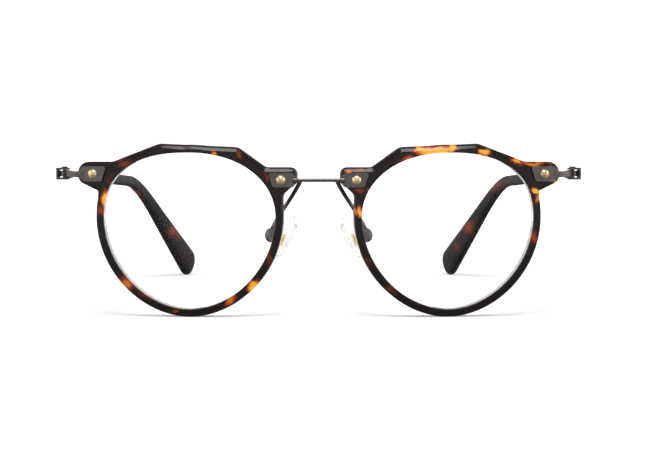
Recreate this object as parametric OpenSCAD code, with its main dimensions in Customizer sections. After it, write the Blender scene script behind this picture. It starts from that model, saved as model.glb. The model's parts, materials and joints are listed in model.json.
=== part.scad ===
// Eyeglasses with acetate rims, a wire bridge, adjustable nose pads and folding temples.
// Millimetres. +X is the wearer's left, the front faces -Y, +Z is up.
// The glasses stand open on Z = 0, on the bottoms of the rims and the ends of the temples.

/* [Front] */
// Width of each lens opening
lens_w = 45.9; // [42:0.1:50]
// Height of each lens opening
lens_h = 41.6; // [38:0.2:46]
// Gap between the two lens openings across the nose
nose_gap = 23.2; // [20:0.2:27]
// Angle that each rim turns back towards its temple
wrap = 4; // [2:0.5:6]
// Radius of the base curve of the rims and lenses
base_r = 180; // [150:5:240]

/* [Rims] */
// Width of the rim round the opening
rim_w = 2.1; // [1.8:0.05:3]
// Thickness of the rim, front to back
rim_t = 4; // [3.6:0.1:4.8]
// Height of the outer crown corner above the opening
crown_high = 2.4; // [2:0.05:3.4]
// Height of the inner crown corner above the opening
crown_low = 1.45; // [1.1:0.05:2.2]
// Width of the polished facet along the crown
facet_w = 1.3; // [0.8:0.1:1.6]

/* [Lenses] */
// Thickness of the lens
lens_t = 1.8; // [1.2:0.1:2.2]
// Distance of the lens behind the front of the rim
lens_set = 1.1; // [0.8:0.1:1.4]
// Depth of the groove that holds the lens
groove_d = 0.75; // [0.6:0.05:1]

/* [Metal trim] */
// Thickness of the trim plates
plate_t = 0.95; // [0.8:0.05:1.2]
// Depth that the plates are let into the rim
plate_sink = 0.45; // [0.3:0.05:0.5]
// Diameter of the rivet heads
rivet_head = 2.5; // [2:0.1:2.8]
// Diameter of the rivet shanks
rivet_d = 1.3; // [1:0.1:1.4]
// Height of the bar that runs from the trim plate to the hinge
bar_h = 1.5; // [1.3:0.1:1.9]
// Diameter of the bridge wire
bridge_d = 0.95; // [0.8:0.05:1.2]

/* [Hinges] */
// Distance of each hinge pin beyond the lens opening
hinge_out = 11.4; // [10.5:0.1:14]
// Distance of each hinge pin behind the front
hinge_y = 11; // [10.5:0.5:14]
// Diameter of the hinge screw
screw_d = 1; // [0.8:0.1:1.2]
// Height of the clevis over its ears
clevis_h = 3.25; // [3.1:0.05:4]

/* [Temples] */
// Distance from the hinge pin back to the ear bend
bend_y = 94; // [80:1:104]
// Distance from the ear bend back to the end of the temple
drop_y = 31; // [26:1:36]
// Distance between the ear bends
bend_span = 121.4; // [112:0.2:132]
// Distance between the temple ends
tip_span = 93.5; // [82:0.5:112]
// Height of the ear bend above the surface
bend_z = 33.6; // [31:0.1:36]
// Diameter of the temple wire
wire_d = 1.4; // [1.2:0.1:1.6]
// Width of the sleeve at its end
tip_w = 9.4; // [8:0.1:10.5]
// Thickness of the sleeve at its end
tip_t = 3.4; // [2.8:0.1:4]

/* [Nose pads] */
// Length of a nose pad
pad_l = 12.4; // [10.5:0.1:15]
// Width of a nose pad
pad_w = 7.4; // [6.6:0.1:8.6]
// Thickness of a nose pad
pad_t = 2.4; // [2.1:0.1:3]
// Distance of the middle of each pad inside the edge of the lens opening
pad_in = 2.45; // [1:0.05:4]
// Distance of the middle of each pad below the middle of the lens opening
pad_drop = 1.8; // [0.5:0.1:4]
// Distance of the pads behind the front
pad_y = 12; // [11.5:0.1:14]
// Angle of the pads from upright, seen from the front
pad_flare = 25; // [15:1:30]
// Angle of the pads from straight back, seen from above
pad_splay = 30; // [20:1:35]

/* [Hidden] */
$fn = 48;

acetate = [0.2, 0.09, 0.05];
gunmetal = [0.3, 0.28, 0.27];
gold = [0.85, 0.65, 0.35];
clear = [0.85, 0.9, 0.92, 0.4];

fit = 0.03;      // running clearance on radius
seat_gap = 0.05; // clearance round parts that seat in a pocket
joint_gap = 0.02; // clearance between faces that are soldered or clamped together

// Opening: four quarter superellipses that meet at the widest level.
half_w = lens_w / 2;
half_h = lens_h / 2;
widest = 3.6;           // height of the widest level above the middle of the opening
power_temple = 2.45;    // squareness of the upper temple quarter
power_nose = 2.09;      // squareness of the upper nose quarter
power_low = 1.91;       // squareness of the two lower quarters
eye_steps = 96;

// Middle of the left opening.
eye = [nose_gap / 2 + half_w * cos(wrap), 0, half_h + rim_w];

// Rivets, from the middle of the opening.
end_seat = [half_w + 3, half_h - 5.7];
nose_seat = [-half_w - 1.4, half_h - 7.3];

// Crown outline, as corners [x, z, radius] from the nose round to the temple.
end_lug_top = half_h - 2.4;
nose_lug_top = half_h - 3.85;
nose_tip = -half_w - 5.65;
end_tip = half_w + 7.3;
crown = [
    [-half_w + 4, half_h - 16, 0],
    [-half_w - rim_w + 0.25, widest, 0],
    [-half_w - rim_w + 0.15, nose_lug_top - 7.25, 1.5],
    [nose_tip + 0.1, nose_lug_top - 3.95, 1.4],
    [nose_tip, nose_lug_top, 1.9],
    [-half_w + 2.7, nose_lug_top, 2],
    [-half_w + 10.15, half_h + crown_low, 2.5],
    [8, half_h + crown_high, 3],
    [half_w - 2.3, end_lug_top, 4],
    [end_tip, end_lug_top, 3],
    [end_tip, end_lug_top - 6.3, 2.9],
    [half_w + rim_w - 0.55, end_lug_top - 6.3, 1.6],
    [half_w + rim_w - 0.25, widest, 0],
    [half_w - 4, half_h - 16, 0],
];
facet_drop = 0.65 * facet_w;

// Lens tongue, half way through the lens.
tongue_t = 0.8;
tongue_near = lens_set + (lens_t - tongue_t) / 2;

// Trim, rivets and nuts.
plate_out = plate_t - plate_sink;
shank_r = rivet_d / 2;
head_r = rivet_head / 2;
head_h = 0.6;
head_ball = (head_r * head_r + head_h * head_h) / (2 * head_h);
spot_d = 0.3;
nut_r = shank_r + 0.55;
nut_t = 1;
bar_w = 1.4;
channel_l = 8;          // length of the channels that let the bar and the bridge off the lugs
channel_tilt = 0.07;    // room for the lean of the front under the upright bar

// Bridge wire and its thicker ends.
knob_r = bridge_d / 2 + 0.2;
knob_from = -3.2; // from the nose rivet, towards the nose
knob_y = -0.25;
bridge_at = seat_point(nose_seat, [knob_from, knob_y, 0]);
bridge_end = bridge_at.x;
knob_l = 1.2;

// Hinge.
hinge = [eye.x + half_w + hinge_out, hinge_y, eye.z + end_seat.y];
screw_r = screw_d / 2;
ear_t = 0.57;
ear_gap = clevis_h / 2 - ear_t;
tongue_r = screw_r + 0.8;
ear_r = tongue_r + 0.15;
web_in = tongue_r + 0.27;
web_out = web_in + 0.42;
screw_head_r = screw_r + 0.35;
screw_head_h = 0.3;
boss_r = wire_d / 2 + 0.4;
boss_from = 3;
boss_to = 6.6;
wire_from = 3.4;
wire_to = 64;
sleeve_from = 36;

bar_from = seat_point(end_seat, [2.6, 0, 0]);
bar_turn = seat_point(end_seat, [5.9, 0, 0]);
bar_line = let (a = [bar_from.x, bar_from.y], b = [bar_turn.x, bar_turn.y], c = [hinge.x, hinge.y])
    [a, for (i = [0:6]) quadratic(b + unit(a - b) * 1.8, b, b + unit(c - b) * 1.8, i / 6), c];

// Temple line: straight to the ear bend, then down to the middle of the round end.
bend = [bend_span / 2, hinge_y + bend_y, bend_z];
tip = [tip_span / 2, bend.y + drop_y, tip_w / 2];
temple_dir = unit(bend - hinge);
temple_yaw = atan2(temple_dir.y, temple_dir.x) - 90;
temple_pitch = asin(temple_dir.z);
drop_dir = unit(tip - bend);
bend_reach = 13;
sleeve_sides = 24;

cap_turns = [0, 20, 38, 54, 68, 80]; // stations round the end of the tip
straight_stops = [0, 0.1, 0.25, 0.4, 0.6, 0.8];
bend_stops = [for (i = [0:9]) i / 9];
drop_stops = [0.2, 0.4, 0.6, 0.8];

sleeve_start = hinge + temple_dir * sleeve_from;
bend_in = bend - temple_dir * bend_reach;
bend_out = bend + drop_dir * bend_reach;

// Sleeve stations: middle, direction, and how far the sleeve has grown.
function sleeve_station(at, along, grown, end = 1) =
    oval_ring(
        at, along, mix(wire_d / 2 + 0.85, tip_w / 2, grown) * end, mix(wire_d / 2 + 0.5, tip_t / 2, grown) * end,
        sleeve_sides, 2.6);

sleeve_rings = [
    oval_ring(
        sleeve_start - temple_dir * 0.35, temple_dir, wire_d / 2 + 0.6, wire_d / 2 + 0.25, sleeve_sides, 2.6),
    for (t = straight_stops)
        sleeve_station(mix(sleeve_start, bend_in, t), temple_dir, 0.06 * t),
    for (t = bend_stops)
        sleeve_station(
            quadratic(bend_in, bend, bend_out, t), unit(mix(temple_dir, drop_dir, t)), 0.05 + 0.27 * t),
    for (t = drop_stops)
        sleeve_station(mix(bend_out, tip, t), drop_dir, 0.32 + 0.68 * t),
    for (a = cap_turns)
        sleeve_station(tip + drop_dir * (tip_w / 2) * sin(a), drop_dir, 1, cos(a)),
];
sleeve_back = max([for (ring = sleeve_rings) for (p = ring) p.y]);
front_y = seat_point(nose_seat, [0, -plate_out - joint_gap - head_h, 0]).y;
middle_y = (front_y + sleeve_back) / 2;

// Nose pad, in the frame of its own middle.
pad_at = [nose_gap / 2 - pad_in, pad_y, eye.z - pad_drop];
pivot = [3.5, 0, -1.4]; // middle of the pad screw
cup_r = 2;
cup_w = 2;
cup_slot = 0.9;
cup_slot_to = 1.1;      // the slot stops here and leaves the web of the cup
tab_t = 0.7;
tab_w = 1.5;
pin_r = 0.35;
pin_head_r = 0.95;
pin_head_h = 0.3;
pin_slot = 0.28;
core_t = 0.5;
core_l = 3.6;
core_w = 1.7;
arm_d = 1.15;
arm_from = [bridge_at.x - 2.05, bridge_at.y, bridge_at.z];
arm_to = pad_point(pivot + (cup_r - 0.1) * [cos(60), 0, sin(60)]);
arm_steps = 22;
arm_line = [
    for (i = [0:arm_steps])
        cubic(
            arm_from, [mix(arm_from.x, arm_to.x, 0.14), rim_t - 0.4, mix(arm_from.z, arm_to.z, 0.24)],
            [mix(arm_from.x, arm_to.x, 0.78), rim_t + 4.4, mix(arm_from.z, arm_to.z, 0.7)], arm_to,
            i / arm_steps)
];

// ---------- curves ----------

function unit(v) = v / norm(v);
function signed_power(v, p) = sign(v) * pow(abs(v), p);
function mix(a, b, t) = a + (b - a) * t;

function eye_point(a) =
    let (
        up = sin(a) >= 0,
        power = !up ? power_low : cos(a) >= 0 ? power_temple : power_nose,
        reach = up ? half_h - widest : half_h + widest
    )
    [half_w * signed_power(cos(a), 2 / power), widest + reach * signed_power(sin(a), 2 / power)];

// Opening grown outwards by d.
function eye_outline(d = 0) = [
    for (i = [0:eye_steps - 1])
        let (
            a = 360 * (i + 0.5) / eye_steps,
            step = 180 / eye_steps,
            along = unit(eye_point(a + step) - eye_point(a - step))
        )
        eye_point(a) + [along.y, -along.x] * d
];

// Arc that rounds corner p, between its neighbours a and b, to radius r.
function corner_arc(a, p, b, r, steps = 6) =
    r == 0 ? [p] :
    let (
        u = unit(a - p),
        v = unit(b - p),
        half = acos(u * v) / 2,
        middle = p + unit(u + v) * r / sin(half),
        start = p + u * r / tan(half) - middle,
        stop = p + v * r / tan(half) - middle,
        first = atan2(start.y, start.x),
        raw = atan2(stop.y, stop.x) - first,
        turn = raw > 180 ? raw - 360 : raw < -180 ? raw + 360 : raw
    )
    [for (i = [0:steps]) middle + r * [cos(first + turn * i / steps), sin(first + turn * i / steps)]];

function corner_at(corners, i) = let (c = corners[i % len(corners)]) [c.x, c.y];

// Part of a rounded outline, from corner number first to corner number last.
function rounded_run(corners, first, last) = [
    for (i = [first:last])
        each corner_arc(
            corner_at(corners, i + len(corners) - 1), corner_at(corners, i),
            corner_at(corners, i + 1), corners[i].z)
];

function rounded(corners) = rounded_run(corners, 0, len(corners) - 1);

// Points along a quadratic curve from a to c, pulled towards b.
function quadratic(a, b, c, t) = mix(mix(a, b, t), mix(b, c, t), t);

function cubic(a, b, c, d, t) = mix(quadratic(a, b, c, t), quadratic(b, c, d, t), t);

function line_tangent(line, i) =
    unit(line[min(i + 1, len(line) - 1)] - line[max(i - 1, 0)]);

// Flat strip of width w along a line.
function strip(line, w) =
    let (side = [for (i = [0:len(line) - 1]) let (t = line_tangent(line, i)) [-t.y, t.x] * w / 2])
    concat(
        [for (i = [0:len(line) - 1]) line[i] - side[i]],
        [for (i = [len(line) - 1:-1:0]) line[i] + side[i]]);

// ---------- frames ----------

function turn_z(p, a) = [p.x * cos(a) - p.y * sin(a), p.x * sin(a) + p.y * cos(a), p.z];
function turn_y(p, a) = [p.x * cos(a) + p.z * sin(a), p.y, p.z * cos(a) - p.x * sin(a)];
function turn_x(p, a) = [p.x, p.y * cos(a) - p.z * sin(a), p.y * sin(a) + p.z * cos(a)];

function seat_tilt(seat) = asin(seat.y / base_r);
function seat_turn(seat) = asin(seat.x / (base_r * cos(seat_tilt(seat))));

// World position of the point p of a seat's frame.
function seat_point(seat, p) =
    let (
        back = [0, base_r, 0],
        inner = turn_z(turn_x(p - back, -seat_tilt(seat)), seat_turn(seat)) + back
    )
    eye + turn_z(inner, wrap);

module mirrored() mirror([1, 0, 0]) children();

module at_eye() translate(eye) rotate([0, 0, wrap]) children();

// Frame with its origin on the front surface at seat and its Y axis along the rivet.
module on_front(seat)
    translate([0, base_r, 0]) rotate([0, 0, seat_turn(seat)]) rotate([-seat_tilt(seat), 0, 0])
        translate([0, -base_r, 0]) children();

// Depth of the front surface at a point of the eye's frame.
function front_depth(p) = base_r - sqrt(base_r * base_r - p.x * p.x - p.y * p.y);

// Extrudes a drawing of X and Z from Y = near to Y = far.
module deep(near, far) translate([0, far, 0]) rotate([90, 0, 0]) linear_extrude(far - near) children();

module rod_y(r, near, far) translate([0, near, 0]) rotate([-90, 0, 0]) cylinder(r = r, h = far - near);

module rod_x(r, near, far) translate([near, 0, 0]) rotate([0, 90, 0]) cylinder(r = r, h = far - near);

// Layer that follows the base curve, from near to far behind the front surface.
module curved_layer(near, far)
    translate([0, base_r, 0]) difference() {
        sphere(r = base_r - near, $fn = 256);
        sphere(r = base_r - far, $fn = 256);
    }

// ---------- swept solids ----------

// Oval ring of half sizes tall and wide, square to tangent, with its tall axis as upright as it can be.
function oval_ring(at, tangent, tall, wide, sides, power = 2) =
    let (up = unit([0, 0, 1] - tangent * tangent.z), across = cross(tangent, up))
    [for (k = [0:sides - 1])
        at + across * wide * signed_power(cos(360 * k / sides), 2 / power)
           + up * tall * signed_power(sin(360 * k / sides), 2 / power)];

// Closed solid through a list of rings with the same number of points.
module skin(rings) {
    n = len(rings[0]);
    last = len(rings) - 1;
    polyhedron(
        points = [for (ring = rings) each ring],
        faces = [
            [for (k = [n - 1:-1:0]) k],
            for (j = [0:last - 1]) for (k = [0:n - 1]) let (m = (k + 1) % n)
                each [[j * n + k, j * n + m, (j + 1) * n + m], [j * n + k, (j + 1) * n + m, (j + 1) * n + k]],
            [for (k = [0:n - 1]) last * n + k],
        ],
        convexity = 6);
}

// ---------- rims and lenses ----------

// Straight-sided cutter that follows the crown and leaves a flat facet along its front edge.
module facet_cutter() {
    path = concat(
        [[nose_tip - 3, nose_lug_top]], rounded_run(crown, 5, 8), [[end_tip + 3, end_lug_top]]);
    skin([
        for (i = [0:len(path) - 1])
            let (
                t = line_tangent(path, i),
                out = [-t.y, t.x],
                depth = front_depth(path[i]),
                near = path[i] - out * facet_w * 1.3,
                far = path[i] + out * facet_w * 0.6
            )
            [
                [near.x, depth - facet_drop * 0.3, near.y],
                [near.x, depth - 2, near.y],
                [far.x, depth - 2, far.y],
                [far.x, depth + facet_drop * 1.6, far.y],
            ]
    ]);
}

// Level channel from x = start, open at its far end.
module channel(start, height) translate([start, -height / 2]) square([channel_l, height]);

module rivet_hole() {
    rod_y(shank_r + fit, -1, rim_t + 1);
    rod_y(nut_r + 2 * seat_gap, rim_t - spot_d, rim_t + 2);
}

module rim() at_eye() difference() {
    intersection() {
        curved_layer(0, rim_t);
        union() {
            deep(-1, 14) polygon(eye_outline(rim_w));
            deep(-1, 14) polygon(rounded(crown));
        }
    }
    deep(-2, 15) polygon(eye_outline());
    intersection() {
        curved_layer(tongue_near - seat_gap, tongue_near + tongue_t + seat_gap);
        deep(-1, 14) polygon(eye_outline(groove_d));
    }
    facet_cutter();
    on_front(end_seat) {
        deep(-2, plate_sink + joint_gap) polygon(end_plate(seat_gap));
        deep(-2, bar_w / 2 + channel_tilt + seat_gap)
            channel(2, bar_h + 2 * (channel_tilt + seat_gap));
        rivet_hole();
    }
    on_front(nose_seat) {
        deep(-2, plate_sink + joint_gap) polygon(nose_plate(seat_gap));
        deep(-2, plate_sink + joint_gap) mirrored() channel(3.6, 2 * knob_r + 1);
        rivet_hole();
    }
}

module lens() at_eye() {
    intersection() {
        curved_layer(lens_set, lens_set + lens_t);
        deep(-1, 14) polygon(eye_outline(-seat_gap));
    }
    intersection() {
        curved_layer(tongue_near, tongue_near + tongue_t);
        deep(-1, 14) polygon(eye_outline(groove_d - seat_gap));
    }
}

// ---------- metal trim ----------

// Plate outlines about the rivet, grown by g.
function end_plate(g) = rounded([
    [-3.8 - g, 2.02 + g, 0.6], [-2.6 - g, -2.02 - g, 0.6], [2.4 + g, -2.02 - g, 0.5],
    [3.7 + g, -0.9, 0.3], [3.7 + g, 0.9, 0.3], [2.7 + g, 2.02 + g, 0.5],
]);

function nose_plate(g) = rounded([
    [-4.3 - g, 0.9, 0.2], [-4.3 - g, -0.75, 0.2], [-3.1 - g, -1.9 - g, 0.5],
    [2.15 + g, -1.9 - g, 0.6], [3.35 + g, 1.9 + g, 0.6], [-3.2 - g, 1.9 + g, 0.5],
]);

module end_piece() difference() {
    union() {
        at_eye() on_front(end_seat) deep(-plate_out, plate_sink) polygon(end_plate(0));
        translate([0, 0, hinge.z - bar_h / 2]) linear_extrude(bar_h) {
            polygon(strip(bar_line, bar_w));
            translate([hinge.x, hinge.y]) circle(r = tongue_r);
        }
    }
    at_eye() on_front(end_seat) rod_y(shank_r + fit, -2, 2);
    translate(hinge) cylinder(r = screw_r + fit, h = bar_h + 2, center = true);
}

module nose_plate_part() at_eye() on_front(nose_seat) difference() {
    deep(-plate_out, plate_sink) polygon(nose_plate(0));
    rod_y(shank_r + fit, -2, 2);
    translate([-6, -2, -knob_r - seat_gap]) cube([6 + knob_from + seat_gap, 4, 2 * (knob_r + seat_gap)]);
}

module bridge() {
    translate([0, bridge_at.y, bridge_at.z]) {
        rod_x(bridge_d / 2, -bridge_end, bridge_end);
        for (side = [-1, 1]) scale([side, 1, 1]) rod_x(knob_r, bridge_end - knob_l, bridge_end);
    }
}

// Rivet with a domed head, through the plate, the lug and the nut.
module rivet(seat) at_eye() on_front(seat) {
    rod_y(shank_r, -plate_out - 0.1, rim_t - spot_d + nut_t + 0.15);
    translate([0, -plate_out - joint_gap, 0]) rotate([90, 0, 0]) intersection() {
        translate([0, 0, head_h - head_ball]) sphere(r = head_ball);
        cylinder(r = head_r, h = head_h);
    }
}

module nut(seat) at_eye() on_front(seat) difference() {
    rod_y(nut_r, rim_t - spot_d + joint_gap, rim_t - spot_d + nut_t);
    rod_y(shank_r + fit, rim_t - 2, rim_t + 2);
}

// ---------- nose pads ----------

module at_pad() translate(pad_at) rotate([0, 0, -pad_splay]) rotate([0, -pad_flare, 0]) children();

function pad_point(p) = pad_at + turn_z(turn_y(p, -pad_flare), -pad_splay);

// Round box with a slot for the tab of the pad.
module pad_clevis() at_pad() translate(pivot) difference() {
    rod_y(cup_r, -cup_w / 2, cup_w / 2);
    translate([-cup_r - 1, -cup_slot / 2, -cup_r - 1])
        cube([cup_r + 1 + cup_slot_to, cup_slot, 2 * cup_r + 2]);
    rod_y(pin_r + fit, -cup_w, cup_w);
}

// Screw through the box, with a slotted head at the front.
module pad_pin() at_pad() translate(pivot) difference() {
    union() {
        rod_y(pin_r, -cup_w / 2 - joint_gap - pin_head_h, cup_w / 2 + 0.1);
        rod_y(pin_head_r, -cup_w / 2 - joint_gap - pin_head_h, -cup_w / 2 - joint_gap);
    }
    translate([-pin_slot / 2, -cup_w / 2 - joint_gap - pin_head_h - 1, -cup_r])
        cube([pin_slot, 1 + pin_head_h * 0.6, 2 * cup_r]);
}

// Bent wire from the back of the bridge to the round box.
module pad_arm() difference() {
    skin([
        for (i = [0:arm_steps])
            oval_ring(arm_line[i], line_tangent(arm_line, i), arm_d / 2, arm_d / 2, 14)
    ]);
    translate([0, bridge_at.y, bridge_at.z]) rod_x(bridge_d / 2 + joint_gap, 0, 2 * arm_from.x);
    at_pad() translate(pivot) rod_y(cup_r + joint_gap, -cup_w, cup_w);
}

// Small plate with a tab that turns on the screw.
module pad_core() at_pad() translate([0, 0, pivot.z]) difference() {
    union() {
        translate([-core_t / 2, -core_w / 2, -core_l / 2]) cube([core_t, core_w, core_l]);
        translate([0, -tab_t / 2, -tab_w / 2]) cube([pivot.x, tab_t, tab_w]);
        translate([pivot.x, 0, 0]) rod_y(tab_w / 2, -tab_t / 2, tab_t / 2);
    }
    translate([pivot.x, 0, 0]) rod_y(pin_r + fit, -1, 1);
}

// Soft cushion, flatter towards its edges, with a pocket for the plate and its tab.
module nose_pad() at_pad() difference() {
    skin([
        for (a = [-75, -55, -35, -15, 0, 15, 35, 55, 75])
            [for (k = [0:31])
                let (c = cos(360 * k / 32), s = sin(360 * k / 32), grow = pow(cos(a), 0.55))
                [sin(a) / sin(75) * pad_t / 2,
                 grow * pad_w / 2 * signed_power(c, 0.85) * (1 + 0.14 * s),
                 grow * pad_l / 2 * signed_power(s, 0.9)]]
    ]);
    translate([0, 0, pivot.z]) {
        translate([-core_t / 2 - seat_gap, -core_w / 2 - seat_gap, -core_l / 2 - seat_gap])
            cube([core_t + 2 * seat_gap, core_w + 2 * seat_gap, core_l + 2 * seat_gap]);
        translate([0, -tab_t / 2 - seat_gap, -tab_w / 2 - seat_gap])
            cube([pivot.x, tab_t + 2 * seat_gap, tab_w + 2 * seat_gap]);
    }
}

// ---------- temples ----------

module at_hinge() translate(hinge) rotate([0, 0, temple_yaw]) children();

// Two ears round the bar, an outer web, and a boss that holds the wire.
module temple_clevis() at_hinge() difference() {
    union() {
        for (z = [-clevis_h / 2, ear_gap]) translate([0, 0, z]) {
            cylinder(r = ear_r, h = ear_t);
            translate([0, -ear_r, 0]) cube([web_out, 2 * ear_r, ear_t]);
        }
        translate([web_in, -ear_r, -clevis_h / 2]) cube([web_out - web_in, 2 * ear_r, clevis_h]);
        translate([0, 0, -bar_h / 2]) linear_extrude(bar_h) polygon([
            [web_in, ear_r - 1], [web_out, ear_r - 1], [web_out, boss_from + 0.8],
            [0.3, boss_to - 1], [0.3, boss_from + 0.4], [web_in, ear_r + 0.8],
        ]);
        rotate([temple_pitch, 0, 0]) rod_y(boss_r, boss_from, boss_to);
    }
    cylinder(r = screw_r + fit, h = clevis_h + 2, center = true);
    rotate([temple_pitch, 0, 0]) rod_y(wire_d / 2 + joint_gap, wire_from - joint_gap, boss_to + 1);
}

module hinge_screw() translate(hinge) {
    translate([0, 0, -clevis_h / 2]) cylinder(r = screw_r, h = clevis_h + 0.1);
    translate([0, 0, clevis_h / 2 + joint_gap]) cylinder(r = screw_head_r, h = screw_head_h);
}

module temple_wire() at_hinge() rotate([temple_pitch, 0, 0]) rod_y(wire_d / 2, wire_from, wire_to);

// Sleeve that grows from the wire to a flat, round-ended tip behind the ear.
module temple_sleeve() difference() {
    skin(sleeve_rings);
    at_hinge() rotate([temple_pitch, 0, 0]) rod_y(wire_d / 2 + joint_gap, 0, wire_to + 0.5);
}

module rim_right() color(acetate) mirrored() rim();
module rim_left() color(acetate) rim();
module lens_right() color(clear) mirrored() lens();
module lens_left() color(clear) lens();
module end_piece_right() color(gunmetal) mirrored() end_piece();
module end_piece_left() color(gunmetal) end_piece();
module nose_plate_right() color(gunmetal) mirrored() nose_plate_part();
module nose_plate_left() color(gunmetal) nose_plate_part();
module bridge_wire() color(gunmetal) bridge();
module end_rivet_right() color(gold) mirrored() rivet(end_seat);
module end_rivet_left() color(gold) rivet(end_seat);
module nose_rivet_right() color(gold) mirrored() rivet(nose_seat);
module nose_rivet_left() color(gold) rivet(nose_seat);
module end_nut_right() color(gunmetal) mirrored() nut(end_seat);
module end_nut_left() color(gunmetal) nut(end_seat);
module nose_nut_right() color(gunmetal) mirrored() nut(nose_seat);
module nose_nut_left() color(gunmetal) nut(nose_seat);
module pad_arm_right() color(gunmetal) mirrored() pad_arm();
module pad_arm_left() color(gunmetal) pad_arm();
module pad_clevis_right() color(gunmetal) mirrored() pad_clevis();
module pad_clevis_left() color(gunmetal) pad_clevis();
module pad_pin_right() color(gunmetal) mirrored() pad_pin();
module pad_pin_left() color(gunmetal) pad_pin();
module pad_core_right() color(gold) mirrored() pad_core();
module pad_core_left() color(gold) pad_core();
module nose_pad_right() color(clear) mirrored() nose_pad();
module nose_pad_left() color(clear) nose_pad();
module temple_clevis_right() color(gunmetal) mirrored() temple_clevis();
module temple_clevis_left() color(gunmetal) temple_clevis();
module hinge_screw_right() color(gunmetal) mirrored() hinge_screw();
module hinge_screw_left() color(gunmetal) hinge_screw();
module temple_wire_right() color(gunmetal) mirrored() temple_wire();
module temple_wire_left() color(gunmetal) temple_wire();
module temple_sleeve_right() color(acetate) mirrored() temple_sleeve();
module temple_sleeve_left() color(acetate) temple_sleeve();

// The row's origin is under the middle of the whole.
translate([0, -middle_y, 0]) {
    rim_right();
    rim_left();
    lens_right();
    lens_left();
    end_piece_right();
    end_piece_left();
    nose_plate_right();
    nose_plate_left();
    bridge_wire();
    end_rivet_right();
    end_rivet_left();
    nose_rivet_right();
    nose_rivet_left();
    end_nut_right();
    end_nut_left();
    nose_nut_right();
    nose_nut_left();
    pad_arm_right();
    pad_arm_left();
    pad_clevis_right();
    pad_clevis_left();
    pad_pin_right();
    pad_pin_left();
    pad_core_right();
    pad_core_left();
    nose_pad_right();
    nose_pad_left();
    temple_clevis_right();
    temple_clevis_left();
    hinge_screw_right();
    hinge_screw_left();
    temple_wire_right();
    temple_wire_left();
    temple_sleeve_right();
    temple_sleeve_left();
}
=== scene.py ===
import bpy
import bmesh
import json
import math
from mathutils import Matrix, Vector


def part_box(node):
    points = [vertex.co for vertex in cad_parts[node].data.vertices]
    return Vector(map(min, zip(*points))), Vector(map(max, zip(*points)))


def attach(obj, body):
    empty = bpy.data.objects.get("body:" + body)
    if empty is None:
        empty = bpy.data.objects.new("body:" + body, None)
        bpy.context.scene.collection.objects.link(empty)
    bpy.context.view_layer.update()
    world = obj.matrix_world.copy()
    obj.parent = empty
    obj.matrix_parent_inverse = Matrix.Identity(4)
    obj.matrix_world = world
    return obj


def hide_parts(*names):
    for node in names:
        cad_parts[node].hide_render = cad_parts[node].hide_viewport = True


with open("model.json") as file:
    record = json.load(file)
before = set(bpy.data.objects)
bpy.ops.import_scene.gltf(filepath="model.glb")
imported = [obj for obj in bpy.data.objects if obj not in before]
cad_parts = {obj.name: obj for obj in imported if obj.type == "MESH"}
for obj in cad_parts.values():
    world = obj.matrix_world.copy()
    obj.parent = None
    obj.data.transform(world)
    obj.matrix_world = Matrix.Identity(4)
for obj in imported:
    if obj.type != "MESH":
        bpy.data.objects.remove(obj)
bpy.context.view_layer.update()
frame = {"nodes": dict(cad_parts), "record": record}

scene = bpy.context.scene
scene.view_settings.view_transform = "Standard"
scene.view_settings.look = "None"

mm = 0.001
sides = {"left": 1, "right": -1}   # the wearer's left is +X

# sizes of the front, in millimetres and degrees, as the frame has them
front = dict(
    hingeOut=11.4, hingeY=11, hingeDown=5.7, wrap=4, baseRadius=180, noseGap=23.2,
    lensWidth=45.9, lensHeight=41.6, rimWidth=2.1, rimThick=4,
    widest=3.6, powerTemple=2.45, powerNose=2.09, powerLow=1.91,
    crownHigh=2.4, crownLow=1.45,
)
bodyOf = {node: body for body, nodes in frame["record"]["behaviour"]["bodies"].items() for node in nodes}
screwLow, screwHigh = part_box("hinge_screw_left")
shiftY = (screwLow[1] + screwHigh[1]) / 2 / mm - front["hingeY"]
halfW, halfH = front["lensWidth"] / 2, front["lensHeight"] / 2
eyeX = front["noseGap"] / 2 + halfW * math.cos(math.radians(front["wrap"]))
eyeZ = halfH + front["rimWidth"]


def worldPoint(x, y, z, side=1):
    return Vector((x * side, y + shiftY, z)) * mm


def eyeToWorld(x, y, z, side):   # from an eye's own frame, which is turned back by the wrap angle
    wrap = math.radians(front["wrap"])
    across = x * math.cos(wrap) - y * math.sin(wrap)
    return worldPoint(eyeX + across, x * math.sin(wrap) + y * math.cos(wrap), z + eyeZ, side)


def surfaceDepth(x, z, behind=0):   # how deep the base curve is at x, z
    radius = front["baseRadius"] - behind
    return front["baseRadius"] - math.sqrt(radius * radius - x * x - z * z)


def signedPower(value, power):
    return math.copysign(abs(value) ** power, value)


def openingPoint(angle):
    c, s = math.cos(angle), math.sin(angle)
    if s >= 0:
        power = front["powerTemple"] if c >= 0 else front["powerNose"]
        reach = halfH - front["widest"]
    else:
        power, reach = front["powerLow"], halfH + front["widest"]
    return Vector((halfW * signedPower(c, 2 / power), front["widest"] + reach * signedPower(s, 2 / power)))


def openingOutline(grow=0, count=360):
    outline = []
    for i in range(count):
        angle = 2 * math.pi * (i + 0.5) / count
        along = (openingPoint(angle + 0.01) - openingPoint(angle - 0.01)).normalized()
        out = Vector((along.y, -along.x))
        outline.append(openingPoint(angle) + out * grow)
    return outline


cornerPlaces = 11   # places on each rounded corner


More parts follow.
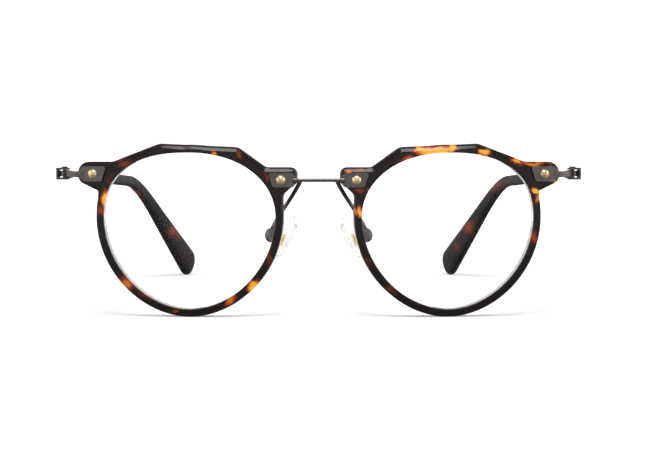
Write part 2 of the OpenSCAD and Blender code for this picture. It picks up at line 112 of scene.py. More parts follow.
def roundedOutline(corners):
    outline = []
    for i, (x, z, radius) in enumerate(corners):
        here = Vector((x, z))
        if radius == 0:
            outline.append(here)
            continue
        before = Vector(corners[i - 1][:2])
        after = Vector(corners[(i + 1) % len(corners)][:2])
        u, v = (before - here).normalized(), (after - here).normalized()
        half = math.acos(max(-1, min(1, u.dot(v)))) / 2
        middle = here + (u + v).normalized() * radius / math.sin(half)
        start = here + u * radius / math.tan(half) - middle
        stop = here + v * radius / math.tan(half) - middle
        first = math.atan2(start.y, start.x)
        turn = math.atan2(stop.y, stop.x) - first
        turn = (turn + math.pi) % (2 * math.pi) - math.pi
        for k in range(cornerPlaces):
            a = first + turn * k / (cornerPlaces - 1)
            outline.append(middle + Vector((math.cos(a), math.sin(a))) * radius)
    return outline


def reachAlong(outline, angle):   # how far a ray from the middle goes before it leaves the outline
    dx, dz = math.cos(angle), math.sin(angle)
    best = 0
    for i, a in enumerate(outline):
        b = outline[(i + 1) % len(outline)]
        ex, ez = b.x - a.x, b.y - a.y
        cross = dx * ez - dz * ex
        if abs(cross) < 1e-12:
            continue
        t = (a.x * ez - a.y * ex) / cross
        u = (a.x * dz - a.y * dx) / cross
        if -1e-9 <= u <= 1 + 1e-9 and t > best:
            best = t
    return best


def resample(points, count):   # the same closed line as count evenly spaced points
    lengths = [0]
    for i, p in enumerate(points):
        lengths.append(lengths[-1] + (points[(i + 1) % len(points)] - p).length)
    total, result, k = lengths[-1], [], 0
    for i in range(count):
        target = total * i / count
        while lengths[k + 1] < target:
            k += 1
        part = (target - lengths[k]) / max(lengths[k + 1] - lengths[k], 1e-9)
        result.append(points[k].lerp(points[(k + 1) % len(points)], part))
    return result


def smoothed(values, reach):
    n = len(values)
    return [sum((values[(i + k) % n] for k in range(-reach, reach + 1)), values[0] * 0) / (2 * reach + 1)
            for i in range(n)]


def normalsOf(points):
    result = []
    for i in range(len(points)):
        along = (points[(i + 1) % len(points)] - points[i - 1]).normalized()
        result.append(Vector((along.y, -along.x)))
    return result


# ---- meshes ----

def nextRing(bm, ring, places):   # extrudes a ring of vertices to new places
    edges = [e for v in ring for e in v.link_edges if e.other_vert(v) in ring]
    made = bmesh.ops.extrude_edge_only(bm, edges=list(set(edges)))
    fresh = {g for g in made["geom"] if isinstance(g, bmesh.types.BMVert)}
    result = []
    for v in ring:
        for e in v.link_edges:
            if e.other_vert(v) in fresh:
                result.append(e.other_vert(v))
                break
    for v, place in zip(result, places):
        v.co = place
    return result


def loft(bm, rings, closed=False):   # a skin over rings with the same number of places
    made = bmesh.ops.create_circle(bm, cap_ends=False, segments=len(rings[0]), radius=1)
    ring = made["verts"]
    for v, place in zip(ring, rings[0]):
        v.co = place
    firstRing = ring
    for places in rings[1:]:
        ring = nextRing(bm, ring, places)
    if closed:
        nextRing(bm, ring, rings[0])
        bmesh.ops.remove_doubles(bm, verts=bm.verts, dist=1e-7)
    else:
        for end in (firstRing, ring):
            edges = {e for v in end for e in v.link_edges if e.other_vert(v) in end}
            bmesh.ops.edgeloop_fill(bm, edges=list(edges))


sharpAngle = math.radians(32)


def markSharp(bm):
    for edge in bm.edges:
        edge.smooth = len(edge.link_faces) != 2 or edge.calc_face_angle() < sharpAngle


def makePiece(name, bm, material, body, node):
    bmesh.ops.recalc_face_normals(bm, faces=bm.faces)
    for face in bm.faces:
        face.smooth = True
    mesh = bpy.data.meshes.new(name)
    bm.to_mesh(mesh)
    bm.free()
    piece = bpy.data.objects.new(name, mesh)
    scene.collection.objects.link(piece)
    mesh.materials.append(material)
    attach(piece, body)
    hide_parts(node)
    return piece


def finishEdges(piece, width=0, segments=3, angle=35):
    if width:
        bevel = piece.modifiers.new("roundEdges", "BEVEL")
        bevel.width, bevel.segments, bevel.limit_method = width * mm, segments, "ANGLE"
        bevel.angle_limit = math.radians(angle)
    weighted = piece.modifiers.new("evenShade", "WEIGHTED_NORMAL")
    weighted.keep_sharp = True


# ---- materials ----

def nodesOf(material):
    material.use_nodes = True
    tree = material.node_tree
    shader = next(n for n in tree.nodes if n.type == "BSDF_PRINCIPLED")
    return tree, shader


def addNode(tree, kind, **values):
    node = tree.nodes.new(kind)
    for key, value in values.items():
        setattr(node, key, value)
    return node


def mathNode(tree, operation, a, b=None, clamp=False):
    node = addNode(tree, "ShaderNodeMath", operation=operation, use_clamp=clamp)
    for i, value in enumerate((a, b)):
        if value is None:
            continue
        if isinstance(value, (int, float)):
            node.inputs[i].default_value = value
        else:
            tree.links.new(value, node.inputs[i])
    return node.outputs[0]


def newGroup(name, inputs, outputs):
    group = bpy.data.node_groups.new(name, "ShaderNodeTree")
    for label, kind, value in inputs:
        socket = group.interface.new_socket(name=label, in_out="INPUT", socket_type=kind)
        if value is not None:
            socket.default_value = value
    for label, kind in outputs:
        group.interface.new_socket(name=label, in_out="OUTPUT", socket_type=kind)
    return group, group.nodes.new("NodeGroupInput"), group.nodes.new("NodeGroupOutput")


def setRamp(node, stops, interpolation="LINEAR"):
    ramp = node.color_ramp
    ramp.interpolation = interpolation
    while len(ramp.elements) > 1:
        ramp.elements.remove(ramp.elements[-1])
    ramp.elements[0].position, ramp.elements[0].color = stops[0][0], (*stops[0][1], 1)
    for position, colour in stops[1:]:
        element = ramp.elements.new(position)
        element.color = (*colour, 1)


# fine marks that every hard finish gets: a slow mottle, and hairlines that run one way
marksGroup, marksIn, marksOut = newGroup(
    "fineMarks",
    [("Scale", "NodeSocketFloat", 900), ("Stretch", "NodeSocketVector", (1, 1, 1))],
    [("Mottle", "NodeSocketFloat"), ("Hairlines", "NodeSocketFloat")])
marksPlace = addNode(marksGroup, "ShaderNodeTexCoord")
marksMap = addNode(marksGroup, "ShaderNodeMapping")
mottle = addNode(marksGroup, "ShaderNodeTexNoise")
mottle.inputs["Detail"].default_value = 3
hair = addNode(marksGroup, "ShaderNodeTexNoise")
hair.inputs["Detail"].default_value = 5
hair.inputs["Roughness"].default_value = 0.7
marksGroup.links.new(marksPlace.outputs["Object"], mottle.inputs["Vector"])
marksGroup.links.new(marksPlace.outputs["Object"], marksMap.inputs["Vector"])
marksGroup.links.new(marksIn.outputs["Stretch"], marksMap.inputs["Scale"])
marksGroup.links.new(marksMap.outputs["Vector"], hair.inputs["Vector"])
marksGroup.links.new(mathNode(marksGroup, "MULTIPLY", marksIn.outputs["Scale"], 0.3), mottle.inputs["Scale"])
marksGroup.links.new(marksIn.outputs["Scale"], hair.inputs["Scale"])
marksGroup.links.new(mottle.outputs[0], marksOut.inputs["Mottle"])
marksGroup.links.new(hair.outputs[0], marksOut.inputs["Hairlines"])


def addMarks(tree, scale, stretch=(1, 1, 1)):
    node = addNode(tree, "ShaderNodeGroup", node_tree=marksGroup)
    node.inputs["Scale"].default_value = scale
    node.inputs["Stretch"].default_value = stretch
    return node


def spread(tree, value, low, high):   # turns a 0 to 1 value into low to high
    node = addNode(tree, "ShaderNodeMapRange")
    tree.links.new(value, node.inputs["Value"])
    node.inputs["From Min"].default_value = 0.3
    node.inputs["From Max"].default_value = 0.7
    node.inputs["To Min"].default_value = low
    node.inputs["To Max"].default_value = high
    return node.outputs[0]


def bumpFrom(tree, height, strength, distance):
    bump = addNode(tree, "ShaderNodeBump")
    bump.inputs["Strength"].default_value = strength
    bump.inputs["Distance"].default_value = distance
    tree.links.new(height, bump.inputs["Height"])
    return bump.outputs["Normal"]


def metalMaterial(name, dark, light, roughLow, roughHigh, stretch):
    material = bpy.data.materials.new(name)
    tree, shader = nodesOf(material)
    marks = addMarks(tree, 1100, stretch)
    ramp = addNode(tree, "ShaderNodeValToRGB")
    setRamp(ramp, [(0.35, dark), (0.65, light)])
    tree.links.new(marks.outputs["Mottle"], ramp.inputs[0])
    tree.links.new(ramp.outputs[0], shader.inputs["Base Color"])
    tree.links.new(spread(tree, marks.outputs["Hairlines"], roughLow, roughHigh), shader.inputs["Roughness"])
    tree.links.new(bumpFrom(tree, marks.outputs["Hairlines"], 0.15, 0.00002), shader.inputs["Normal"])
    shader.inputs["Metallic"].default_value = 1
    return material


gunmetal = metalMaterial("gunmetal", (0.15, 0.139, 0.133), (0.21, 0.195, 0.187), 0.28, 0.40, (1, 1, 0.2))
paleGold = metalMaterial("paleGold", (0.90, 0.64, 0.31), (0.98, 0.75, 0.42), 0.26, 0.38, (1, 1, 1))

# tortoiseshell acetate: a dark body with patches that go from red brown to amber to yellow
shellGroup, shellIn, shellOut = newGroup(
    "tortoiseShell",
    [("Patches", "NodeSocketFloat", 0), ("Mottling", "NodeSocketFloat", 0.5)],
    [("Colour", "NodeSocketColor"), ("Glow", "NodeSocketFloat")])
shellPlace = addNode(shellGroup, "ShaderNodeTexCoord")
shellNoise = addNode(shellGroup, "ShaderNodeTexNoise")
shellNoise.inputs["Scale"].default_value = 190
shellNoise.inputs["Detail"].default_value = 4
shellNoise.inputs["Roughness"].default_value = 0.6
shellGroup.links.new(shellPlace.outputs["Object"], shellNoise.inputs["Vector"])
shellWave = mathNode(shellGroup, "SUBTRACT", shellNoise.outputs[0], 0.5)
shellField = mathNode(
    shellGroup, "ADD", shellIn.outputs["Patches"],
    mathNode(shellGroup, "MULTIPLY", shellWave, shellIn.outputs["Mottling"]), clamp=True)
shellRamp = addNode(shellGroup, "ShaderNodeValToRGB")
setRamp(shellRamp, [
    (0.0, (0.0075, 0.0045, 0.0038)), (0.18, (0.012, 0.0055, 0.0042)), (0.34, (0.06, 0.009, 0.0035)),
    (0.5, (0.22, 0.033, 0.005)), (0.7, (0.62, 0.16, 0.010)), (0.95, (0.95, 0.43, 0.035))])
shellGroup.links.new(shellField, shellRamp.inputs[0])
shellGroup.links.new(shellRamp.outputs[0], shellOut.inputs["Colour"])
shellGroup.links.new(shellField, shellOut.inputs["Glow"])


patchShape = dict(spread=1.25, firmness=1.3)   # how far patches reach past their sizes, and how flat they are


def shellMaterial(name, patches, mottling, wander, roughLow=0.12, roughHigh=0.2, gloss=0.4):
    material = bpy.data.materials.new(name)
    tree, shader = nodesOf(material)
    place = addNode(tree, "ShaderNodeTexCoord")
    bend = addNode(tree, "ShaderNodeTexNoise")   # bends the edges of the patches
    bend.inputs["Scale"].default_value = 260
    bend.inputs["Detail"].default_value = 3
    tree.links.new(place.outputs["Object"], bend.inputs["Vector"])
    centred = addNode(tree, "ShaderNodeVectorMath", operation="SUBTRACT")
    tree.links.new(bend.outputs["Color"], centred.inputs[0])
    centred.inputs[1].default_value = (0.5, 0.5, 0.5)
    moved = addNode(tree, "ShaderNodeVectorMath", operation="MULTIPLY_ADD")
    tree.links.new(centred.outputs[0], moved.inputs[0])
    moved.inputs[1].default_value = (wander * mm,) * 3
    tree.links.new(place.outputs["Object"], moved.inputs[2])
    total = None
    for x, z, wide, tall, turn, strength in patches:
        local = addNode(tree, "ShaderNodeMapping", vector_type="TEXTURE")
        local.inputs["Location"].default_value = (x * mm, 0, z * mm)
        local.inputs["Rotation"].default_value = (0, math.radians(-turn), 0)
        spreadOut = patchShape["spread"] * mm
        local.inputs["Scale"].default_value = (wide * spreadOut, 1, tall * spreadOut)
        tree.links.new(moved.outputs[0], local.inputs["Vector"])
        blob = addNode(tree, "ShaderNodeTexGradient", gradient_type="SPHERICAL")
        tree.links.new(local.outputs[0], blob.inputs["Vector"])
        firm = mathNode(tree, "MULTIPLY", blob.outputs["Fac"], patchShape["firmness"], clamp=True)
        value = mathNode(tree, "MULTIPLY", firm, strength)
        total = value if total is None else mathNode(tree, "MAXIMUM", total, value)
    shell = addNode(tree, "ShaderNodeGroup", node_tree=shellGroup)
    shell.inputs["Mottling"].default_value = mottling
    if total is not None:
        tree.links.new(total, shell.inputs["Patches"])
    tree.links.new(shell.outputs["Colour"], shader.inputs["Base Color"])
    marks = addMarks(tree, 700)
    tree.links.new(spread(tree, marks.outputs["Hairlines"], roughLow, roughHigh), shader.inputs["Roughness"])
    tree.links.new(bumpFrom(tree, marks.outputs["Mottle"], 0.08, 0.00005), shader.inputs["Normal"])
    shader.inputs["IOR"].default_value = 1.48
    shader.inputs["Specular IOR Level"].default_value = gloss
    return material


# patches: x, z, half width, half height in millimetres, turn in degrees, strength
rimPatches = {
    "right": [
        (-51.8, 40.7, 3.2, 2.2, -25, 0.44), (-56.7, 31.6, 1.7, 3.2, 0, 0.95),
        (-58.3, 28.5, 1.7, 2.1, 0, 0.5), (-27.5, 43.1, 1.1, 1.0, 0, 0.75),
        (-21.1, 43.4, 1.4, 1.4, 0, 0.5), (-14.1, 37.1, 0.8, 1.9, 20, 0.55),
        (-55.4, 36.7, 1.5, 1.9, 0, 0.38), (-51.1, 9.1, 3.3, 1.7, -45, 0.66),
        (-46.3, 5.65, 3.2, 1.2, -35, 0.38), (-38.4, 1.8, 1.4, 1.0, 0, 0.45),
        (-23.4, 4.6, 2.7, 1.5, 30, 0.65), (-17.2, 8.2, 2.5, 1.9, 50, 1.3),
        (-12.9, 15.2, 1.2, 4.5, 0, 0.36),
    ],
    "left": [
        (7.9, 39.0, 1.4, 1.1, 0, 0.8), (11.0, 39.0, 3.0, 1.1, 0, 0.46),
        (23.2, 41.6, 3.1, 1.2, 25, 0.6), (30.6, 44.4, 6.2, 1.7, 2, 1.3),
        (26.5, 44.9, 2.6, 1.0, 20, 0.95), (35.1, 44.7, 1.3, 1.6, 0, 1.1),
        (43.9, 43.9, 2.2, 1.0, -20, 1.1), (42.0, 43.0, 1.8, 0.8, 25, 0.9),
        (57.7, 40.9, 6.0, 1.0, 0, 0.75), (52.4, 41.2, 2.6, 1.0, -25, 0.85),
        (62.8, 39.6, 1.6, 0.8, -30, 0.8), (57.7, 33.6, 1.9, 1.2, -35, 1.2),
        (58.2, 31.5, 1.1, 1.6, 0, 0.75), (62.4, 35.9, 1.0, 0.7, 0, 0.7),
        (57.2, 21.0, 1.5, 2.2, 0, 0.47), (10.8, 33.9, 2.4, 1.0, 0, 0.42),
        (13.1, 33.1, 0.9, 2.1, 0, 0.6), (10.2, 28.3, 1.2, 1.7, 0, 0.65),
        (11.4, 28.1, 0.9, 2.2, 0, 0.95), (14.4, 18.1, 1.5, 3.0, 30, 0.5),
        (19.3, 7.3, 2.0, 1.4, -40, 0.36), (13.0, 14.5, 1.6, 3.0, 20, 0.38),
    ],
}
rimShell = {side: shellMaterial("tortoiseRim_" + side, rimPatches[side], 0.46, 3.4) for side in sides}
templePatches = [
    (-61.2, 29.2, 3.4, 2.6, -30, 0.42), (-49.8, 15.7, 2.8, 4.2, 25, 0.46), (-43.5, 6.0, 2.0, 3.5, 0, 0.34),
    (58.0, 32.5, 4.0, 3.2, 30, 0.42), (51.7, 17.5, 2.8, 3.8, -25, 0.47), (48.0, 10.5, 1.8, 2.6, 0, 0.36),
]
templeShell = shellMaterial("tortoiseTemple", templePatches, 0.30, 3.0, 0.36, 0.46, 0.2)

lensClear = bpy.data.materials.new("lensClear")
lensTree, lensShader = nodesOf(lensClear)
lensMarks = addMarks(lensTree, 300)
lensTree.links.new(spread(lensTree, lensMarks.outputs["Mottle"], 0.0, 0.004), lensShader.inputs["Roughness"])
lensShader.inputs["Base Color"].default_value = (0.995, 1, 0.998, 1)
lensShader.inputs["Transmission Weight"].default_value = 1
lensShader.inputs["IOR"].default_value = 1.12

silicone = bpy.data.materials.new("softSilicone")
siliconeTree, siliconeShader = nodesOf(silicone)
siliconeMarks = addMarks(siliconeTree, 500)
siliconeTree.links.new(
    spread(siliconeTree, siliconeMarks.outputs["Mottle"], 0.05, 0.12), siliconeShader.inputs["Roughness"])
siliconeTree.links.new(
    bumpFrom(siliconeTree, siliconeMarks.outputs["Hairlines"], 0.1, 0.00003), siliconeShader.inputs["Normal"])
siliconeShader.inputs["Base Color"].default_value = (0.97, 0.97, 0.95, 1)
siliconeShader.inputs["Transmission Weight"].default_value = 0.8
siliconeShader.inputs["IOR"].default_value = 1.14
print("materials ready")


# ---- rims ----

rimSizes = dict(stations=320, round=0.35, facet=1.3, facetDrop=0.65, crease=0.12)


def crownCorners():
    lugTop, noseTop = halfH - 2.4, halfH - 3.85
    noseTip, endTip, edge = -halfW - 5.65, halfW + 7.3, front["rimWidth"]
    return [
        (-halfW + 4, halfH - 16, 0), (-halfW - edge + 0.25, front["widest"], 0),
        (-halfW - edge + 0.15, noseTop - 7.25, 1.5),
        (noseTip + 0.1, noseTop - 3.95, 1.4), (noseTip, noseTop, 1.9),
        (-halfW + 2.7, noseTop, 2), (-halfW + 10.15, halfH + front["crownLow"], 2.5),
        (8, halfH + front["crownHigh"], 3), (halfW - 2.3, lugTop, 4), (endTip, lugTop, 3),
        (endTip, lugTop - 6.3, 2.9), (halfW + edge - 0.55, lugTop - 6.3, 1.6),
        (halfW + edge - 0.25, front["widest"], 0),
        (halfW - 4, halfH - 16, 0),
    ]


def rimOutline(count):
    ring = openingOutline(front["rimWidth"])
    crown = roundedOutline(crownCorners())
    points = []
    for i in range(1800):
        angle = 2 * math.pi * i / 1800
        reach = max(reachAlong(ring, angle), reachAlong(crown, angle))
        points.append(Vector((math.cos(angle), math.sin(angle))) * reach)
    return resample(points, count)


def distanceToLine(p, line):
    best = 1e9
    for a, b in zip(line, line[1:]):
        ab = b - a
        t = max(0, min(1, (p - a).dot(ab) / ab.length_squared))
        best = min(best, (p - a - ab * t).length)
    return best


def buildRim(side):
    size = rimSizes
    outer = rimOutline(size["stations"])
    opening = openingOutline()
    angles = [math.atan2(p.y, p.x) for p in outer]
    for i in range(1, len(angles)):
        while angles[i] < angles[i - 1] - math.pi:
            angles[i] += 2 * math.pi
    count = len(angles)
    spreadAngles = []
    for i in range(count):   # evens out the stations that bunch up under the lugs
        total = 0
        for k in range(-7, 8):
            lap, j = divmod(i + k, count)
            total += angles[j] + 2 * math.pi * lap
        spreadAngles.append(total / 15)
    inner = [Vector((math.cos(a), math.sin(a))) * reachAlong(opening, a) for a in spreadAngles]
    outerOut, innerOut = smoothed(normalsOf(outer), 1), smoothed(normalsOf(inner), 2)
    corners = crownCorners()
    facetLine = [Vector((corners[4][0] - 3, corners[4][1]))]
    facetStart = 2 + 3 * cornerPlaces   # past two plain corners and three rounded ones
    facetLine += roundedOutline(corners)[facetStart:facetStart + 4 * cornerPlaces]
    facetLine.append(Vector((corners[9][0] + 3, corners[9][1])))
    facets = [max(size["round"], size["facet"] - distanceToLine(p, facetLine)) for p in outer]
    facets = smoothed(facets, 1)
    r, thick = size["round"], front["rimThick"]
    rings = []

    def addRing(place):   # place gives a point of the drawing and its depth for one station
        ring = []
        for i in range(count):
            p, depth = place(i)
            ring.append(eyeToWorld(p.x, depth, p.y, sides[side]))
        rings.append(ring)

    def innerPlace(inset, drop, back):
        def place(i):
            p = inner[i] + innerOut[i] * inset
            depth = surfaceDepth(p.x, p.y, thick if back else 0)
            return p, depth - drop if back else depth + drop
        return place

    def outerPlace(inset, drop, back):
        def place(i):
            p = outer[i] - outerOut[i] * inset
            depth = surfaceDepth(p.x, p.y, thick if back else 0)
            return p, depth - drop if back else depth + drop
        return place

    def facetPlace(across, ease):   # across is 0 at the crease and 1 at the side wall
        def place(i):
            drop = max(r, facets[i] * size["facetDrop"])
            p = outer[i] - outerOut[i] * (facets[i] * (1 - across) + (ease if across == 0 else 0))
            return p, surfaceDepth(p.x, p.y) + drop * across + (ease if across == 1 else 0)
        return place

    for inset, drop in (
            (0, 1.6), (0, r), (0.08 * r, 0.62 * r), (0.3 * r, 0.3 * r), (0.62 * r, 0.08 * r), (r, 0)):
        addRing(innerPlace(inset, drop, False))
    addRing(facetPlace(0, size["crease"]))
    addRing(facetPlace(0.08, 0))
    addRing(facetPlace(0.5, 0))
    addRing(facetPlace(0.92, 0))
    addRing(facetPlace(1, size["crease"]))
    addRing(outerPlace(0, 1.9, False))
    for inset, drop in ((0, r), (0.08 * r, 0.62 * r), (0.3 * r, 0.3 * r), (0.62 * r, 0.08 * r), (r, 0)):
        addRing(outerPlace(inset, drop, True))
    for inset, drop in ((r, 0), (0.62 * r, 0.08 * r), (0.3 * r, 0.3 * r), (0.08 * r, 0.62 * r), (0, r)):
        addRing(innerPlace(inset, drop, True))
    bm = bmesh.new()
    loft(bm, rings, closed=True)
    piece = makePiece("rimShell_" + side, bm, rimShell[side], "front", "rim_" + side)
    finishEdges(piece)
    return piece


for side in sides:
    buildRim(side)
print("rims ready")


# ---- lenses ----

lensSizes = dict(set=1.1, thick=1.8, gap=0.05, tongue=0.7)


def buildLens(side):
    size = lensSizes
    edge = resample(openingOutline(-size["gap"]), 128)
    wide = resample(openingOutline(size["tongue"]), 128)
    rings = []
    for share, behind in [(s, size["set"]) for s in (0.01, 0.2, 0.4, 0.6, 0.8, 0.94, 1)]:
        rings.append([(p * share, behind) for p in edge])
    rings.append([(p, size["set"] + 0.5) for p in edge])
    rings.append([(p, size["set"] + 0.52) for p in wide])
    rings.append([(p, size["set"] + 1.28) for p in wide])
    rings.append([(p, size["set"] + 1.3) for p in edge])
    for share, behind in [(s, size["set"] + size["thick"]) for s in (1, 0.94, 0.8, 0.6, 0.4, 0.2, 0.01)]:
        rings.append([(p * share, behind) for p in edge])
    placed = [[eyeToWorld(p.x, surfaceDepth(p.x, p.y, behind), p.y, sides[side]) for p, behind in ring]
              for ring in rings]
    bm = bmesh.new()
    loft(bm, placed)
    markSharp(bm)
    piece = makePiece("lensClear_" + side, bm, lensClear, "front", "lens_" + side)
    piece.visible_shadow = False
    finishEdges(piece)


for side in sides:
    buildLens(side)
print("lenses ready")

# ---- temples and pads ----

def ovalRing(at, tangent, tall, wide, sides, power=2):
    up = (Vector((0, 0, 1)) - tangent * tangent.z).normalized()
    across = tangent.cross(up)
    ring = []
    for k in range(sides):
        a = 2 * math.pi * k / sides
        ring.append(at + across * wide * signedPower(math.cos(a), 2 / power)
                    + up * tall * signedPower(math.sin(a), 2 / power))
    return ring


def curvePoint(points, t):   # a Bezier curve through as many control points as it is given
    while len(points) > 1:
        points = [a.lerp(b, t) for a, b in zip(points, points[1:])]
    return points[0]


def sidePlaces(rings, side):
    return [[worldPoint(p.x, p.y, p.z, sides[side]) for p in ring] for ring in rings]


templeSizes = dict(bendBack=94, dropBack=31, bendSpan=121.4, tipSpan=93.5, bendHigh=33.6, wire=1.4,
                   tipWide=9.4, tipThick=3.4, sleeveFrom=36, bendReach=13, sides=40)


def buildSleeve(side):
    size = templeSizes
    hinge = Vector((eyeX + halfW + front["hingeOut"], front["hingeY"], eyeZ + halfH - front["hingeDown"]))
    bend = Vector((size["bendSpan"] / 2, hinge.y + size["bendBack"], size["bendHigh"]))
    tip = Vector((size["tipSpan"] / 2, bend.y + size["dropBack"], size["tipWide"] / 2))
    along, drop = (bend - hinge).normalized(), (tip - bend).normalized()
    start = hinge + along * size["sleeveFrom"]
    bendIn, bendOut = bend - along * size["bendReach"], bend + drop * size["bendReach"]
    core = size["wire"] / 2
    rings = []

    def addStation(at, direction, grown, end=1):
        tall = core + 0.85 + (size["tipWide"] / 2 - core - 0.85) * grown
        wide = core + 0.5 + (size["tipThick"] / 2 - core - 0.5) * grown
        rings.append(ovalRing(at, direction, tall * end, wide * end, size["sides"], 2.6))

    for back, share in ((0.35, 0.72), (0.33, 0.86), (0.22, 0.96)):   # eased front end
        rings.append(ovalRing(start - along * back, along, (core + 0.6) * share + 0.3 * share * share,
                              (core + 0.45) * share, size["sides"], 2.6))
    for i in range(11):
        t = 0.8 * i / 10
        addStation(start.lerp(bendIn, t), along, 0.06 * t)
    for i in range(21):
        t = i / 20
        direction = along.lerp(drop, t).normalized()
        addStation(curvePoint([bendIn, bend, bendOut], t), direction, 0.05 + 0.27 * t)
    for i in range(1, 7):
        t = 0.8 * i / 6
        addStation(bendOut.lerp(tip, t), drop, 0.32 + 0.68 * t)
    for a in (0, 10, 20, 30, 40, 50, 60, 70, 79, 86):
        turn = math.radians(a)
        addStation(tip + drop * size["tipWide"] * 0.4925 * math.sin(turn), drop, 1, math.cos(turn))
    bm = bmesh.new()
    loft(bm, sidePlaces(rings, side))
    piece = makePiece(
        "templeSleeve_" + side, bm, templeShell, "temple_" + side, "temple_sleeve_" + side)
    finishEdges(piece)


padSizes = dict(padIn=2.45, back=12, drop=1.8, flare=25, splay=30, long=12.4, wide=7.4, thick=2.4,
                pivotX=3.5, pivotZ=-1.4, cup=2, armThick=1.15, armSteps=44, armSides=20)
padAt = Vector((front["noseGap"] / 2 - padSizes["padIn"], padSizes["back"], eyeZ - padSizes["drop"]))


def padPoint(p):
    flare, splay = math.radians(padSizes["flare"]), math.radians(-padSizes["splay"])
    x, z = p.x * math.cos(flare) - p.z * math.sin(flare), p.z * math.cos(flare) + p.x * math.sin(flare)
    return padAt + Vector((x * math.cos(splay) - p.y * math.sin(splay),
                           x * math.sin(splay) + p.y * math.cos(splay), z))


def buildPad(side):
    size = padSizes
    rings = []
    for i in range(25):   # from the face on the nose to the face on the tab
        a = math.radians(-86 + 172 * i / 24)
        grow = math.cos(a) ** 0.5
        level = size["thick"] / 2 * signedPower(math.sin(a), 0.9)
        ring = []
        for k in range(64):
            b = 2 * math.pi * k / 64
            c, s = math.cos(b), math.sin(b)
            across = grow * size["wide"] / 2 * signedPower(c, 0.92) * (1 + 0.12 * s)
            ring.append(padPoint(Vector((level, across, grow * size["long"] / 2 * signedPower(s, 0.95)))))
        rings.append(ring)
    bm = bmesh.new()
    loft(bm, sidePlaces(rings, side))
    piece = makePiece("softPad_" + side, bm, silicone, "pad_" + side, "nose_pad_" + side)
    piece.visible_shadow = False
    finishEdges(piece)


def buildArm(side):
    size, thick = padSizes, front["rimThick"]
    seatLow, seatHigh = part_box("bridge_wire")
    start = Vector((0, (seatLow[1] + seatHigh[1]) / 2 / mm - shiftY, (seatLow[2] + seatHigh[2]) / 2 / mm))
    start.x = seatHigh[0] / mm - 2.05
    lift = math.radians(60)
    reach = size["cup"] - 0.1
    end = padPoint(Vector((
        size["pivotX"] + reach * math.cos(lift), 0, size["pivotZ"] + reach * math.sin(lift))))
    near, far = start.lerp(end, 0.14), start.lerp(end, 0.78)
    near.y, near.z = thick - 0.4, start.z + (end.z - start.z) * 0.24
    far.y, far.z = thick + 4.4, start.z + (end.z - start.z) * 0.7
    line = [curvePoint([start, near, far, end], i / size["armSteps"]) for i in range(size["armSteps"] + 1)]
    rings = []
    for i, at in enumerate(line):
        direction = (line[min(i + 1, len(line) - 1)] - line[max(i - 1, 0)]).normalized()
        rings.append(ovalRing(at, direction, size["armThick"] / 2, size["armThick"] / 2, size["armSides"]))
    bm = bmesh.new()
    loft(bm, sidePlaces(rings, side))
    piece = makePiece("padArm_" + side, bm, gunmetal, "front", "pad_arm_" + side)
    finishEdges(piece)


for side in sides:
    buildSleeve(side)
    buildPad(side)
    buildArm(side)
print("temples, pads and arms ready")


# ---- metal trim: the frame's own shapes with their edges eased ----

easedEdges = dict(   # node: edge radius in millimetres, finish, slot
    end_piece=(0.24, gunmetal, "gunmetal"), nose_plate=(0.24, gunmetal, "gunmetal"),
    temple_clevis=(0.14, gunmetal, "gunmetal"), pad_clevis=(0.16, gunmetal, "gunmetal"),
    pad_pin=(0.05, gunmetal, "gunmetal"), hinge_screw=(0.06, gunmetal, "gunmetal"),
    end_nut=(0.12, gunmetal, "gunmetal"), nose_nut=(0.12, gunmetal, "gunmetal"),
    end_rivet=(0.1, paleGold, "gold"), nose_rivet=(0.1, paleGold, "gold"),
    bridge_wire=(0.12, gunmetal, "gunmetal"), temple_wire=(0.05, gunmetal, "gunmetal"),
    pad_core=(0.08, paleGold, "gold"),
)


def easedCopy(node, radius, material, slot):
    bm = bmesh.new()
    bm.from_mesh(frame["nodes"][node].data)
    bmesh.ops.remove_doubles(bm, verts=bm.verts, dist=0.002 * mm)
    bmesh.ops.dissolve_limit(bm, angle_limit=math.radians(0.5), verts=bm.verts, edges=bm.edges)
    markSharp(bm)
    piece = makePiece("eased_" + node, bm, material, bodyOf[node], node)
    finishEdges(piece, radius)


for name in list(frame["nodes"]):
    kind = name if name in easedEdges else name.rsplit("_", 1)[0]
    if kind in easedEdges:
        easedCopy(name, *easedEdges[kind])
print("metal trim ready")

# ---- floor, light and camera ----

floorSizes = dict(half=6, glowFrom=0.12, glowTo=0.6, glowNear=0.24, glowFar=1.1)
bm = bmesh.new()
bmesh.ops.create_grid(bm, x_segments=1, y_segments=1, size=floorSizes["half"])
floorMesh = bpy.data.meshes.new("paleFloor")
bm.to_mesh(floorMesh)
bm.free()
floor = bpy.data.objects.new("paleFloor", floorMesh)
scene.collection.objects.link(floor)
floorFinish = bpy.data.materials.new("paleFloor")
floorTree, floorShader = nodesOf(floorFinish)
floorShader.inputs["Base Color"].default_value = (0.92, 0.92, 0.92, 1)
floorShader.inputs["Roughness"].default_value = 0.9
floorShader.inputs["Specular IOR Level"].default_value = 0.1
floorShader.inputs["Emission Color"].default_value = (1, 1, 1, 1)
floorPlace = addNode(floorTree, "ShaderNodeTexCoord")
floorReach = addNode(floorTree, "ShaderNodeVectorMath", operation="LENGTH")
floorTree.links.new(floorPlace.outputs["Object"], floorReach.inputs[0])
floorGlow = addNode(floorTree, "ShaderNodeMapRange", interpolation_type="SMOOTHSTEP")
floorTree.links.new(floorReach.outputs["Value"], floorGlow.inputs["Value"])
for label, key in (
        ("From Min", "glowFrom"), ("From Max", "glowTo"), ("To Min", "glowNear"), ("To Max", "glowFar")):
    floorGlow.inputs[label].default_value = floorSizes[key]
floorTree.links.new(floorGlow.outputs[0], floorShader.inputs["Emission Strength"])
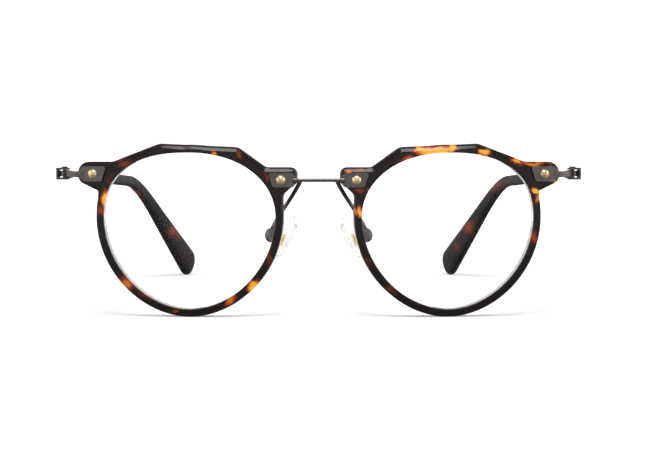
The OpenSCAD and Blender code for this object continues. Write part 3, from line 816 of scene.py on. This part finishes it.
floorMesh.materials.append(floorFinish)
floor.visible_glossy = False

lightSet = dict(key=4.8, keySize=0.5, fill=1.2, fillSize=1.4, side=1.2, sideSize=0.5,
                front=0.55, back=0.5, sideGain=0.5, low=0.45, high=0.5, soft=0.44)


def areaLight(name, place, target, size, power):
    light = bpy.data.lights.new(name, "AREA")
    light.shape, light.size, light.energy = "SQUARE", size, power
    holder = bpy.data.objects.new(name, light)
    holder.location = place
    holder.rotation_euler = (Vector(target) - Vector(place)).to_track_quat("-Z", "Y").to_euler()
    scene.collection.objects.link(holder)


areaLight("key", (0, -0.45, 0.95), (0, 0, 0), lightSet["keySize"], lightSet["key"])
areaLight("fill", (0, 0.15, 1.2), (0, 0, 0), lightSet["fillSize"], lightSet["fill"])
areaLight("sideRight", (-0.9, -0.1, 0.5), (0, 0, 0.03), lightSet["sideSize"], lightSet["side"])
areaLight("sideLeft", (0.9, -0.1, 0.5), (0, 0, 0.03), lightSet["sideSize"], lightSet["side"])

world = bpy.data.worlds.new("softStudio")
scene.world = world
world.use_nodes = True
worldTree = world.node_tree
background = next(n for n in worldTree.nodes if n.type == "BACKGROUND")
worldPlace = addNode(worldTree, "ShaderNodeTexCoord")
worldParts = addNode(worldTree, "ShaderNodeSeparateXYZ")
worldTree.links.new(worldPlace.outputs["Generated"], worldParts.inputs[0])


def worldShare(value, start, stop, low, high):   # a soft step along one direction of the surroundings
    node = addNode(worldTree, "ShaderNodeMapRange", interpolation_type="SMOOTHSTEP")
    worldTree.links.new(value, node.inputs["Value"])
    for label, value in (("From Min", start), ("From Max", stop), ("To Min", low), ("To Max", high)):
        node.inputs[label].default_value = value
    return node.outputs[0]


sideways = mathNode(worldTree, "ABSOLUTE", worldParts.outputs["X"])
around = mathNode(
    worldTree, "ADD", worldShare(worldParts.outputs["Y"], -0.9, 0.3, lightSet["front"], lightSet["back"]),
    worldShare(sideways, 0.45, 0.9, 0, lightSet["sideGain"]))
upright = worldParts.outputs["Z"]
around = mathNode(worldTree, "MULTIPLY", around, worldShare(upright, -0.35, 0.1, lightSet["low"], 1))
around = mathNode(worldTree, "MULTIPLY", around, worldShare(upright, 0.3, 0.95, 1, lightSet["high"]))
lightPath = addNode(worldTree, "ShaderNodeLightPath")
seen = mathNode(
    worldTree, "MAXIMUM", lightPath.outputs["Is Camera Ray"], lightPath.outputs["Is Transmission Ray"])
strength = addNode(worldTree, "ShaderNodeMix", data_type="FLOAT")
worldTree.links.new(seen, strength.inputs[0])
matte = addNode(worldTree, "ShaderNodeMix", data_type="FLOAT")   # what matte surfaces get instead
worldTree.links.new(lightPath.outputs["Is Diffuse Ray"], matte.inputs[0])
worldTree.links.new(around, matte.inputs[2])
matte.inputs[3].default_value = lightSet["soft"]
worldTree.links.new(matte.outputs[0], strength.inputs[2])
strength.inputs[3].default_value = 1.1
worldTree.links.new(strength.outputs[0], background.inputs["Strength"])
background.inputs["Color"].default_value = (1, 1, 1, 1)

cameraSet = dict(away=0.400, high=0.04519, pitch=3.23, yaw=-0.144, lens=84.56)
cameraData = bpy.data.cameras.new("camera")
cameraData.lens = cameraSet["lens"]
cameraData.sensor_width = 36
cameraData.clip_start = 0.01
camera = bpy.data.objects.new("camera", cameraData)
camera.location = (0, shiftY * mm - cameraSet["away"], cameraSet["high"])
camera.rotation_euler = (math.radians(90 - cameraSet["pitch"]), 0, math.radians(cameraSet["yaw"]))
scene.collection.objects.link(camera)
scene.camera = camera

print("scene ready")
